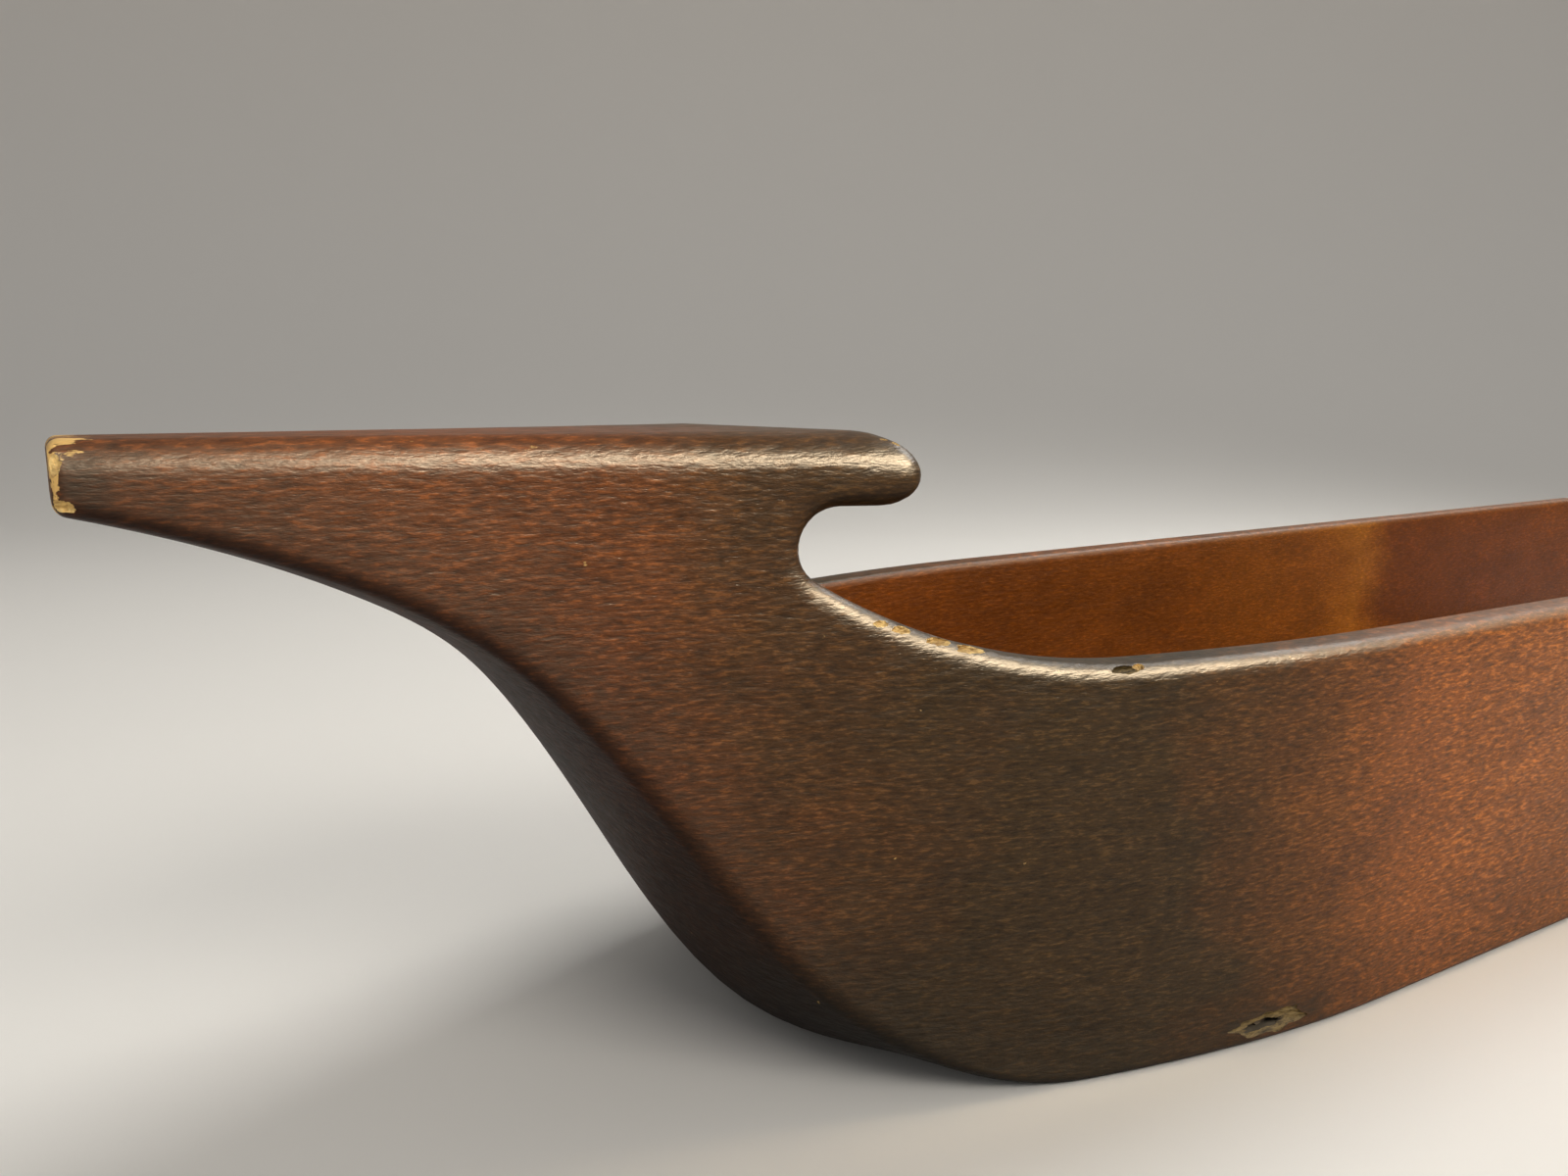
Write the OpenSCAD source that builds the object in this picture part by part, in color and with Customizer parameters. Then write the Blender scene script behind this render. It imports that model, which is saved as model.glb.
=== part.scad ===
// Wooden feed scoop: a carved stern block with the handle, two bent side boards and a bottom board, nailed and glued.
// X runs from the handle's tip to the mouth, Y across, Z up from the base.

/* [Overall] */
// Length from the handle's tip to the mouth
total_l = 520; // [430:5:640]
// Width over the side boards at the mouth
mouth_w = 131; // [118:1:160]
// Width over the side boards at the end of the stern's curve
shoulder_w = 113; // [94:1:138]
// Height of the side boards' rim above the base
rim_h = 64.6; // [53.6:0.2:78]
// Height of the handle's top above the base
deck_h = 98.6; // [90:0.2:120]

/* [Handle and stern] */
// Width of the handle at its tip
tip_w = 24.4; // [18:0.2:32]
// Thickness of the handle at its tip
tip_t = 7.8; // [5:0.2:12]
// Width where the plan curve turns from hollow to full
turn_w = 71; // [58:1:86]
// Distance from the tip to that turn
turn_x = 94; // [80:1:112]
// Distance from the tip to the end of the stern's plan curve
shoulder_x = 188; // [165:1:225]
// Distance from the tip to where the stern's lower edges meet the base
stern_l = 126; // [108:1:150]
// Fall of the handle's top from its flat middle to its edges, at the turn
top_fall = 2.4; // [0.2:0.1:4]
// Share of the half width over which the top falls
top_fall_share = 0.32; // [0.15:0.01:0.6]

/* [Notch and nub] */
// Distance from the tip to the notch's inner end
notch_x = 85; // [74:0.5:92]
// Radius of the notch
notch_r = 5.6; // [4:0.1:7]
// Thickness of the nub above the notch
nub_t = 10.1; // [7:0.1:13]
// How far the nub reaches over the notch
nub_l = 16; // [10:0.2:18]
// Distance over which the notch runs down to the rim
rim_fall_l = 51; // [44:1:70]

/* [Boards] */
// Thickness of the side boards
side_t = 8.6; // [6:0.1:11]
// Thickness of the bottom board
bottom_t = 9; // [7:0.1:12]
// Distance from the tip to the side boards' stern ends
side_x = 118; // [112:1:126]
// Length that the side boards lap over the stern block
side_lap = 44; // [34:1:56]
// Length that the bottom board laps under the stern block's toe
bottom_lap = 26; // [20:1:34]
// Thickness of the stern block's toe on the bottom board
toe_t = 2; // [1.2:0.1:4]
// Distance from the notch's inner end to the hollow's stern end
hollow_gap = 17; // [12:1:24]
// Radius of the hollow's round stern end in plan
hollow_r = 38; // [30:1:44]
// Radius of the side boards' top corners at the mouth
mouth_r = 22; // [8:1:36]
// Length of the bevel on the bottom board's lip
lip_l = 22; // [10:1:40]
// Glue line between the wooden pieces
glue_gap = 0.1; // [0.05:0.01:0.25]

/* [Nails] */
// Number of nails from each side board into the bottom board
bottom_nail_n = 6; // [4:1:8]
// Number of nails from each side board into the stern block
stern_nail_n = 3; // [2:1:4]
// Number of nails up through the bottom board
base_nail_n = 3; // [2:1:4]
// Diameter of a nail's shank
shank_d = 2.2; // [1.6:0.1:3]
// Diameter of a nail's head
head_d = 4.8; // [3.6:0.1:6]
// Thickness of a nail's head
head_t = 1.1; // [0.8:0.1:1.6]
// Length of a side nail
nail_l = 24; // [18:1:28]
// Length of a nail up through the bottom board
base_nail_l = 14; // [12:0.5:16]
// Depth of a nail's head below the wood
sink = 1.8; // [1.2:0.1:2.4]
// Clearance round a nail in its hole
nail_gap = 0.05; // [0.02:0.01:0.12]
// Distance of the first side nail from the stern block's inner end
first_nail_in = 2; // [1:0.5:6]
// Distance of the last side nail from the mouth
last_nail_in = 24; // [14:1:40]
// Depth of the filler below the side face
filler_dip = 0.1; // [0:0.05:0.4]

/* [Hidden] */
wood = "saddlebrown";
dark_wood = "#4a2a18";
steel = "dimgray";
filler = "tan";
eps = 0.01;
big = 400;
tip_z = deck_h - tip_t;                        // underside of the handle at the tip
block_end = side_x + side_lap;                 // inner end of the stern block's toe
bottom_x = block_end - bottom_lap;             // stern end of the bottom board
rim_x = notch_x + rim_fall_l;                  // where the rim becomes level
hollow_x = notch_x + hollow_gap;               // stern end of the hollow
notch_z = deck_h - nub_t - notch_r;            // centre height of the notch
flare = (mouth_w - shoulder_w) / 2 / (total_l - shoulder_x);
nail_z = bottom_t / 2;
first_nail_x = block_end - first_nail_in;      // nail with the lost filler on the right side
last_nail_x = total_l - last_nail_in;
nail_pitch = (last_nail_x - first_nail_x) / (bottom_nail_n - 1);
stern_nail_x = side_x + side_lap / 7;
stern_nail_z = bottom_t;                       // lowest and highest nail into the stern block
stern_nail_top = 0.4 * rim_h;
stern_nail_pitch = (stern_nail_top - stern_nail_z) / (stern_nail_n - 1);
base_nail_x = bottom_x + head_d;
base_nail_y = shoulder_w / 4;

// Cubic through knots [x, y, slope], level with the end knots outside them
function piece(a, b, t) = (2 * t^3 - 3 * t^2 + 1) * a[1] + (t^3 - 2 * t^2 + t) * (b[0] - a[0]) * a[2]
    + (3 * t^2 - 2 * t^3) * b[1] + (t^3 - t^2) * (b[0] - a[0]) * b[2];
function curve(k, x, i = 0) = x <= k[0][0] ? k[0][1] : x >= k[len(k) - 1][0] ? k[len(k) - 1][1]
    : x <= k[i + 1][0] ? piece(k[i], k[i + 1], (x - k[i][0]) / (k[i + 1][0] - k[i][0])) : curve(k, x, i + 1);

// Outer half width in plan: hollow along the handle, full at the shoulder, then a straight flare
plan_knots = [[0, tip_w / 2, 0.12], [turn_x / 2, (0.77 * tip_w + 0.155 * turn_w) / 1.5, 0.2],
              [turn_x, turn_w / 2, 0.41], [shoulder_x, shoulder_w / 2, flare]];
function half_w(x) = x < shoulder_x ? curve(plan_knots, x) : shoulder_w / 2 + flare * (x - shoulder_x);

// Underside of the stern as shares of its length and of the tip's height: along the side faces and along the middle
edge_knots = [[0, 1, -0.35], [0.24, 0.887, -0.62], [0.415, 0.72, -1.42], [0.61, 0.356, -2.06], [0.755, 0.133, -1.06],
              [1, 0, 0]];
mid_knots = [[0, 0.989, -0.37], [0.24, 0.866, -0.69], [0.415, 0.69, -1.58], [0.58, 0.335, -2.5], [0.714, 0.055, -1.3],
             [0.794, 0, 0]];
function edge_z(x) = tip_z * curve(edge_knots, x / stern_l);
function mid_z(x) = tip_z * curve(mid_knots, x / stern_l);
function under_z(x, k) = max(0, mid_z(x) + (edge_z(x) - mid_z(x)) * k^2);
// Top at a share k of the half width: flat, then falling towards the side faces
function top_z(x, k) = deck_h - top_fall * half_w(x) / (turn_w / 2)
    * max(0, (abs(k) - 1 + top_fall_share) / top_fall_share)^2;

// Rim seen from the side: the notch's arc, then a fall to the level rim
notch_turn = 237;                              // angle at which the arc passes into the fall
fall_knots = [[notch_x + notch_r * (1 + cos(notch_turn)), notch_z + notch_r * sin(notch_turn), -1 / tan(notch_turn - 180)],
              [rim_x, rim_h, 0]];
function rim_z(x) = curve(fall_knots, x);
fall_steps = 14;
rim_outline = concat([for (i = [0:10]) let (a = 90 + (notch_turn - 90) * i / 10)
                          [notch_x + notch_r * (1 + cos(a)), notch_z + notch_r * sin(a)]],
                     [for (i = [1:fall_steps]) let (x = fall_knots[0][0] + (rim_x - fall_knots[0][0]) * i / fall_steps)
                          [x, rim_z(x)]]);

// Everything is built from the tip and then centred on the length
module centred() { translate([-total_l / 2, 0, 0]) children(); }

// Extrudes a side view outline across the whole width
module across() { translate([0, big / 2, 0]) rotate([90, 0, 0]) linear_extrude(big) children(); }

// Values from a to b in n equal steps
function steps(a, b, n) = [for (i = [0:n]) a + (b - a) * i / n];

// Plan of the space between the side boards' inner faces, inset by a gap
module inside_plan(a, b, gap) {
    xs = concat(a < shoulder_x ? steps(a, min(b, shoulder_x), 20) : [a], b > shoulder_x ? [b] : []);
    polygon(concat([for (x = xs) [x, half_w(x) - side_t - gap]],
                   [for (i = [len(xs) - 1:-1:0]) [xs[i], -(half_w(xs[i]) - side_t - gap)]]));
}

// Solid stern form with its top and its rounded underside, before any cut
module stern_form() {
    n = 16;
    xs = concat(steps(0, 60, 12), steps(64, 104, 12), steps(109, block_end, 8));
    ring = [for (x = xs) concat(
        [for (j = [0:n]) let (k = -1 + 2 * j / n) [x, k * half_w(x), under_z(x, k)]],
        [for (j = [n:-1:0]) let (k = -1 + 2 * j / n) [x, k * half_w(x), top_z(x, k)]])];
    m = 2 * (n + 1);
    polyhedron(points = [for (r = ring) for (p = r) p],
        faces = concat(
            [[for (j = [0:m - 1]) j], [for (j = [m - 1:-1:0]) (len(xs) - 1) * m + j]],
            [for (i = [0:len(xs) - 2]) for (j = [0:m - 1]) let (a = i * m + j, b = i * m + (j + 1) % m)
                each [[a, a + m, b], [b, a + m, b + m]]]));
}

// Space above the rim and under the nub
module notch_cut() {
    nub_end = notch_x + nub_l;
    nub_low = deck_h - nub_t;
    across() polygon(concat(
        [for (a = [90:-15:-90]) [nub_end - nub_t / 2 + nub_t / 2 * cos(a), nub_low + nub_t / 2 * (1 + sin(a))]],
        rim_outline,
        [[big, rim_h], [big, deck_h + eps], [nub_end - nub_t / 2, deck_h + eps]]));
}

// Scooped stern end of the hollow
module hollow_cut() {
    cove = [[hollow_x, rim_z(hollow_x) + toe_t, -2], [block_end, bottom_t + toe_t, -0.12]];
    intersection() {
        across() polygon(concat([for (x = steps(hollow_x, block_end + 1, 16)) [x, curve(cove, x)]],
                                [[block_end + 1, big], [hollow_x, big]]));
        translate([0, 0, -eps]) linear_extrude(big) intersection() {
            inside_plan(hollow_x - 20, block_end + 2, 0);
            translate([hollow_x + hollow_r, 0]) union() {
                circle(r = hollow_r, $fn = 64);
                translate([0, -big / 2]) square([big, big]);
            }
        }
    }
}

module side_rebates() {
    // outside the inner faces of the side boards, from their stern ends on
    difference() {
        translate([side_x - glue_gap, -big / 2, -1]) cube([big, big, deck_h + 2]);
        translate([0, 0, -2]) linear_extrude(deck_h + 4) inside_plan(side_x - 2, total_l, glue_gap);
    }
}

// Shank hole and head hole of every nail, as cutters or as the nails themselves
module nail(gap, head, long = nail_l) {
    translate([0, 0, -long]) cylinder(d = shank_d + 2 * gap, h = long - sink - head_t + eps, $fn = 24);
    translate([0, 0, -sink - head_t]) cylinder(d = head_d + 2 * gap, h = head, $fn = 32);
}

// Places its children with +Z out of the right side board at each nail
module right_bottom_spots(first = 0) {
    for (i = [first:bottom_nail_n - 1]) {
        x = first_nail_x + nail_pitch * i;
        translate([x, -half_w(x), nail_z]) rotate([90, 0, 0]) children();
    }
}

module right_stern_spots() {
    for (i = [0:stern_nail_n - 1])
        translate([stern_nail_x, -half_w(stern_nail_x), stern_nail_z + stern_nail_pitch * i])
            rotate([90, 0, 0]) children();
}

module base_spots() {
    for (i = [0:base_nail_n - 1])
        translate([base_nail_x, base_nail_y * (2 * i / (base_nail_n - 1) - 1), 0]) rotate([180, 0, 0]) children();
}

module both_sides() {
    children();
    mirror([0, 1, 0]) children();
}

module nail_cut(long = nail_l) { nail(nail_gap, head_t + sink + head_d, long + nail_gap); }

module stern_block() {
    color(dark_wood) centred() difference() {
        stern_form();
        notch_cut();
        hollow_cut();
        side_rebates();
        translate([bottom_x - glue_gap, -big / 2, -1]) cube([big, big, bottom_t + glue_gap + 1]);
        both_sides() right_stern_spots() nail_cut();
        base_spots() nail_cut(base_nail_l);
    }
}

module right_side_board() {
    color(wood) centred() side_board();
}

module left_side_board() {
    color(wood) centred() mirror([0, 1, 0]) side_board();
}

// Plan of the right side board, with its outer face moved in by a dip
module board_plan(dip = 0) {
    xs = concat(steps(side_x, shoulder_x, 20), [total_l]);
    polygon(concat([for (x = xs) [x, -half_w(x) + dip]],
                   [for (i = [len(xs) - 1:-1:0]) [xs[i], -half_w(xs[i]) + side_t]]));
}

module side_board() {
    difference() {
        intersection() {
            linear_extrude(deck_h) board_plan();
            across() polygon(concat(
                [for (x = steps(side_x - 1, max(side_x, stern_l), 5)) [x, edge_z(x)]],
                [[total_l + 1, 0], [total_l + 1, rim_h - mouth_r]],
                [for (a = [0:10:90]) [total_l - mouth_r + mouth_r * cos(a), rim_h - mouth_r + mouth_r * sin(a)]],
                [for (x = steps(max(side_x, rim_x), side_x - 1, 6)) [x, rim_z(x)]]));
        }
        right_bottom_spots() nail_cut();
        right_stern_spots() nail_cut();
    }
}

module bottom_board() {
    color(wood) centred() difference() {
        linear_extrude(bottom_t) inside_plan(bottom_x, total_l, glue_gap);
        across() polygon([[total_l - lip_l, bottom_t + eps], [total_l + 1, bottom_t + eps],
                          [total_l + 1, bottom_t / 3], [total_l, bottom_t / 3]]);
        both_sides() right_bottom_spots() nail_cut();
        base_spots() nail_cut(base_nail_l);
    }
}

module right_bottom_nails() {
    color(steel) centred() right_bottom_spots() nail(0, head_t);
}

module left_bottom_nails() {
    color(steel) centred() mirror([0, 1, 0]) right_bottom_spots() nail(0, head_t);
}

module right_stern_nails() {
    color(steel) centred() right_stern_spots() nail(0, head_t);
}

module left_stern_nails() {
    color(steel) centred() mirror([0, 1, 0]) right_stern_spots() nail(0, head_t);
}

module base_nails() {
    color(steel) centred() base_spots() nail(0, head_t, base_nail_l);
}

// Fillers over the sunk heads of the right side, dressed to the side face from the given bottom nail on
module side_fillers(first) {
    intersection() {
        union() {
            right_stern_spots() plug();
            right_bottom_spots(first) plug();
        }
        translate([0, 0, -1]) linear_extrude(deck_h) board_plan(filler_dip);
    }
}

module plug() { translate([0, 0, -sink]) cylinder(d = head_d, h = sink + head_d, $fn = 32); }

module right_filler_plugs() {
    color(filler) centred() side_fillers(1);
}

module left_filler_plugs() {
    color(filler) centred() mirror([0, 1, 0]) side_fillers(0);
}

stern_block();
left_side_board();
right_side_board();
bottom_board();
left_bottom_nails();
right_bottom_nails();
left_stern_nails();
right_stern_nails();
base_nails();
left_filler_plugs();
right_filler_plugs();
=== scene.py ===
# Wooden feed scoop: a carved stern block with nailed side and bottom boards, in stained, lacquered maple
import math

import bpy
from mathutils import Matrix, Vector, noise


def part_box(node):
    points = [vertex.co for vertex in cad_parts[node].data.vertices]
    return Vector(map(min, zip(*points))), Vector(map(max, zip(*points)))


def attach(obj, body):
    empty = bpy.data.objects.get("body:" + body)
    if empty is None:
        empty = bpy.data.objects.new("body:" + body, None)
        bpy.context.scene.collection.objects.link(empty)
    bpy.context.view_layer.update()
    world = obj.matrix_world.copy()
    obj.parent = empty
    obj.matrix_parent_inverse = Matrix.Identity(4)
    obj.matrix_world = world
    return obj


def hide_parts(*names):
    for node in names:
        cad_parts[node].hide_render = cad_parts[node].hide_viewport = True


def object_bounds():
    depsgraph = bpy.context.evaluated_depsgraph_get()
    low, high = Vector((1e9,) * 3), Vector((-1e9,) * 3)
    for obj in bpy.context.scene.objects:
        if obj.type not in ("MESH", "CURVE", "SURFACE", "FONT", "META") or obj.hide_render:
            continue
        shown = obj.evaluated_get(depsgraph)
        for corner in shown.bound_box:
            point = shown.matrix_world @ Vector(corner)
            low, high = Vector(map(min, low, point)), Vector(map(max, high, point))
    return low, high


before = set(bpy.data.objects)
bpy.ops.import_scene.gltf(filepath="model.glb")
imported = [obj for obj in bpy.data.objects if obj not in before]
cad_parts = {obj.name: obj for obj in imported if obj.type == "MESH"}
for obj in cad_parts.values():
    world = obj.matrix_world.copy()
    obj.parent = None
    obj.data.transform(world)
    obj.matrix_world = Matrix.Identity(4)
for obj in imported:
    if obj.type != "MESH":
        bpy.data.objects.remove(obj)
cadLow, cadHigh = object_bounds()
mm = 0.001
touch = 0.01 * mm          # closer than this is the same place
slack = 0.1 * mm           # keeps a test clear of the edge it is made beside
weld = 0.002 * mm
creaseAngle = math.radians(32)
tipX = cadLow.x            # the handle's end
scoopLength = cadHigh.x - cadLow.x
deckZ = cadHigh.z          # top of the handle along its middle
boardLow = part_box("right_side_board")[0]
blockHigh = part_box("stern_block")[1]
bottomLow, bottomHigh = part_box("bottom_board")
boardStart = boardLow.x - tipX     # lengths below run from the handle's end
blockEnd = blockHigh.x - tipX
bottomStart = bottomLow.x - tipX
bottomThick = bottomHigh.z


def leaveEditMode():
    if bpy.context.object and bpy.context.object.mode != "OBJECT":
        bpy.ops.object.mode_set(mode="OBJECT")


def activate(piece):
    leaveEditMode()
    bpy.ops.object.select_all(action="DESELECT")
    piece.select_set(True)
    bpy.context.view_layer.objects.active = piece


def editAll(piece):
    activate(piece)
    bpy.ops.object.mode_set(mode="EDIT")
    bpy.ops.mesh.select_mode(type="VERT")
    bpy.ops.mesh.select_all(action="SELECT")


def selectVertices(piece, wanted):
    leaveEditMode()
    for part in (piece.data.vertices, piece.data.edges, piece.data.polygons):
        part.foreach_set("select", [False] * len(part))
    for vertex in wanted:
        vertex.select = True
    activate(piece)
    bpy.ops.object.mode_set(mode="EDIT")
    bpy.ops.mesh.select_mode(type="VERT")


def placeVertices(piece, places):
    for vertex, place in zip(piece.data.vertices, places):
        vertex.co = place
    piece.data.update()


def duplicate(piece, name):
    activate(piece)
    bpy.ops.object.duplicate(linked=False)
    copy = bpy.context.object
    copy.name = copy.data.name = name
    return copy


def makeBox(low, high):
    middle = [(a + b) / 2 for a, b in zip(low, high)]
    bpy.ops.mesh.primitive_cube_add(size=1, location=middle, scale=[b - a for a, b in zip(low, high)])
    bpy.ops.object.transform_apply(location=True, rotation=False, scale=True)
    return bpy.context.object


def cutOff(piece, point, normal):
    # Takes away what lies on the normal's side of a plane and closes the cut
    editAll(piece)
    bpy.ops.mesh.bisect(plane_co=point, plane_no=normal, use_fill=True, clear_outer=True, threshold=touch)
    leaveEditMode()


def applyAll(piece):
    activate(piece)
    for modifier in list(piece.modifiers):
        bpy.ops.object.modifier_apply(modifier=modifier.name)


def outwardNormals(piece):
    editAll(piece)
    bpy.ops.mesh.normals_make_consistent(inside=False)
    leaveEditMode()


def carve(piece, cutter):
    # The cut faces keep the cutter's finish
    modifier = piece.modifiers.new("carve", "BOOLEAN")
    modifier.operation = "DIFFERENCE"
    modifier.solver = "EXACT"
    modifier.material_mode = "TRANSFER"
    modifier.object = cutter
    applyAll(piece)
    bpy.data.objects.remove(cutter)


def roundEdges(piece, radiusOf, segments):
    # radiusOf(edge ends) gives each edge's rounding, or 0
    mesh = piece.data
    radii = [radiusOf(*(mesh.vertices[i].co for i in edge.vertices)) for edge in mesh.edges]
    largest = max(radii)
    weights = mesh.attributes.get("bevel_weight_edge")
    weights = weights or mesh.attributes.new("bevel_weight_edge", "FLOAT", "EDGE")
    weights.data.foreach_set("value", [radius / largest for radius in radii])
    bevel = piece.modifiers.new("rounding", "BEVEL")
    bevel.limit_method = "WEIGHT"
    bevel.width = largest
    bevel.segments = segments
    bevel.use_clamp_overlap = False
    applyAll(piece)
    mesh.attributes.remove(mesh.attributes["bevel_weight_edge"])


def curve(knots, x):
    # Cubic through knots (x, height, slope), level beyond its ends
    if x <= knots[0][0]:
        return knots[0][1]
    for (xa, ya, sa), (xb, yb, sb) in zip(knots, knots[1:]):
        if x <= xb:
            t = (x - xa) / (xb - xa)
            return ((2 * t ** 3 - 3 * t * t + 1) * ya + (t ** 3 - 2 * t * t + t) * (xb - xa) * sa
                    + (3 * t * t - 2 * t ** 3) * yb + (t ** 3 - t * t) * (xb - xa) * sb)
    return knots[-1][1]


def smooth(a, b, x):
    t = min(1, max(0, (x - a) / (b - a)))
    return t * t * (3 - 2 * t)


lines = dict(
    tipHalf=12.2 * mm,       # half width at the handle's end
    tipThick=7.8 * mm,
    turnHalf=35.5 * mm,      # half width where the plan turns
    turnX=94 * mm,
    shoulderHalf=56.5 * mm,
    shoulderX=188 * mm,
    mouthHalf=(cadHigh.y - cadLow.y) / 2,
    sternLength=126 * mm,
    topFall=2.4 * mm,        # how far the handle's top falls to its edges, at the turn
    fallShare=0.32,          # the share of the half width over which it falls
    fallBlend=24 * mm,       # the length over which the fall draws up from the handle to the nub
    rimHeight=64.6 * mm,
    notchX=85 * mm,
    notchRadius=5.6 * mm,
    notchTurn=237,           # degrees, where the notch passes into the rim
    nubThick=10.1 * mm,
    nubLength=16 * mm,
    rimFall=51 * mm,
    mouthCorner=22 * mm,
    wall=8.6 * mm,
    coat=0.03 * mm,          # the lacquer lies over the filled nails
)
tipZ = deckZ - lines["tipThick"]
flare = (lines["mouthHalf"] - lines["shoulderHalf"]) / (scoopLength - lines["shoulderX"])
notchZ = deckZ - lines["nubThick"] - lines["notchRadius"]
# Half width halfway to the turn, slimmer than a straight taper
waistHalf = (0.77 * 2 * lines["tipHalf"] + 0.155 * 2 * lines["turnHalf"]) / 1.5
# Knots are (x, value, slope)
planKnots = [
    (0, lines["tipHalf"], 0.12),
    (lines["turnX"] / 2, waistHalf, 0.2),
    (lines["turnX"], lines["turnHalf"], 0.41),
    (lines["shoulderX"], lines["shoulderHalf"], flare),
]
# The stern's lower edge and its keel in the side view, as shares of the stern's length and the tip's height
edgeShares = [(0, 1, -0.35), (0.24, 0.887, -0.62), (0.415, 0.72, -1.42), (0.61, 0.356, -2.06),
              (0.755, 0.133, -1.06), (1, 0, 0)]
keelShares = [(0, 0.989, -0.37), (0.24, 0.866, -0.69), (0.415, 0.69, -1.58), (0.58, 0.335, -2.5),
              (0.714, 0.055, -1.3), (0.794, 0, 0)]


def halfWidth(x):
    beyond = max(0, x - lines["shoulderX"])
    return curve(planKnots, x) + flare * beyond


def edgeZ(x):
    return tipZ * curve(edgeShares, x / lines["sternLength"])


def keelZ(x):
    return tipZ * curve(keelShares, x / lines["sternLength"])


def edgeFall(x, share):
    out = max(0, (share - 1 + lines["fallShare"]) / lines["fallShare"])
    return lines["topFall"] * halfWidth(x) / lines["turnHalf"] * out * out


notchEnd = math.radians(lines["notchTurn"])
fallKnots = [
    (lines["notchX"] + lines["notchRadius"] * (1 + math.cos(notchEnd)),
     notchZ + lines["notchRadius"] * math.sin(notchEnd), -1 / math.tan(notchEnd - math.pi)),
    (lines["notchX"] + lines["rimFall"], lines["rimHeight"], 0),
]


def rimZ(x):
    return curve(fallKnots, x)


hull = dict(
    halfWidth=60 * mm,       # even width until the pieces are bent to the plan
    deckEdge=3.4 * mm,
    nubEdge=4.4 * mm,
    notchEdge=3.8 * mm,
    rimEdge=2.8 * mm,
    rimInnerEdge=2.0 * mm,
    mouthEdge=1.5 * mm,
    baseEdge=1.6 * mm,
    keelEdge=2.3 * mm,
    keelReach=1.5,           # how many roundings above the lower edge the keel's bend takes hold
    tipEdge=1.4 * mm,
    tipCrossEdge=1.3 * mm,
    roundSteps=14,           # points round the nub and the notch
    cornerSteps=12,
    sternStep=2 * mm,
    shoulderStep=4 * mm,
    wallStep=18 * mm,
)


def arc(centreX, centreZ, radius, start, end, steps):
    turns = [math.radians(start + (end - start) * i / steps) for i in range(steps + 1)]
    return [(centreX + radius * math.cos(t), centreZ + radius * math.sin(t)) for t in turns]


def hullOutline():
    # Side view from the tip over the deck, round to the base and back, as (x, z, rounding of the next edge)
    noseX = lines["notchX"] + lines["nubLength"] - lines["nubThick"] / 2
    points = [(0, deckZ, hull["deckEdge"])]
    points += [(x, z, hull["nubEdge"])
               for x, z in arc(noseX, deckZ - lines["nubThick"] / 2, lines["nubThick"] / 2,
                             90, -90, hull["roundSteps"])]
    points += [(x, z, hull["notchEdge"])
               for x, z in arc(lines["notchX"] + lines["notchRadius"], notchZ, lines["notchRadius"],
                               90, lines["notchTurn"], hull["roundSteps"])]
    x = math.ceil(fallKnots[0][0] / hull["sternStep"]) * hull["sternStep"]
    while x < fallKnots[1][0] + slack:
        share = smooth(fallKnots[0][0], fallKnots[1][0], x)
        points.append((x, rimZ(x), hull["notchEdge"] + share * (hull["rimEdge"] - hull["notchEdge"])))
        x += hull["sternStep"]
    corner, steps = lines["mouthCorner"], hull["cornerSteps"]
    mouth = arc(scoopLength - corner, lines["rimHeight"] - corner, corner, 90, 0, steps)
    points += [(x, z, hull["rimEdge"] + i / steps * (hull["mouthEdge"] - hull["rimEdge"]))
               for i, (x, z) in enumerate(mouth)]
    points.append((scoopLength, 0, hull["baseEdge"]))
    steps = round(lines["sternLength"] / hull["sternStep"])
    for i in range(steps, 0, -1):
        x = i * hull["sternStep"]
        share = smooth(1, 0.5, i / steps)
        points.append((x, edgeZ(x), hull["baseEdge"] + share * (hull["keelEdge"] - hull["baseEdge"])))
    points.append((0, tipZ, hull["tipEdge"]))
    return points


def makeHull():
    outline = hullOutline()
    bpy.ops.mesh.primitive_circle_add(vertices=len(outline), radius=scoopLength / 2, fill_type="NGON")
    piece = bpy.context.object
    piece.name = piece.data.name = "hull"
    placeVertices(piece, [(x, -hull["halfWidth"], z) for x, z, radius in outline])
    editAll(piece)
    bpy.ops.mesh.extrude_region_move(TRANSFORM_OT_translate={"value": (0, 2 * hull["halfWidth"], 0)})
    leaveEditMode()
    outwardNormals(piece)
    along = {}
    for (x, z, radius), (nextX, nextZ, _) in zip(outline, outline[1:] + outline[:1]):
        along[(x + nextX) / 2, (z + nextZ) / 2] = radius
    corners = {(0, round(deckZ, 6)): hull["tipCrossEdge"], (0, round(tipZ, 6)): hull["tipCrossEdge"],
               (round(scoopLength, 6), 0): hull["mouthEdge"]}

    def radiusOf(a, b):
        if abs(a.y - b.y) > hull["halfWidth"]:
            return corners.get((round(a.x, 6), round(a.z, 6)), 0)
        x, z = (a.x + b.x) / 2, (a.z + b.z) / 2
        return along[min(along, key=lambda place: math.dist(place, (x, z)))]

    roundEdges(piece, radiusOf, segments=6)
    return piece


def stations(start, end):
    # Where a piece is divided along its length so that it can bend
    places, x = [], start
    while x < end - slack:
        step = hull["wallStep"]
        if x < lines["shoulderX"]:
            step = hull["shoulderStep"]
        if x < lines["sternLength"]:
            step = hull["sternStep"]
        x = round(x / step + 1) * step if x > 0 else step
        if x < end - slack:
            places.append(x)
    return places


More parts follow.
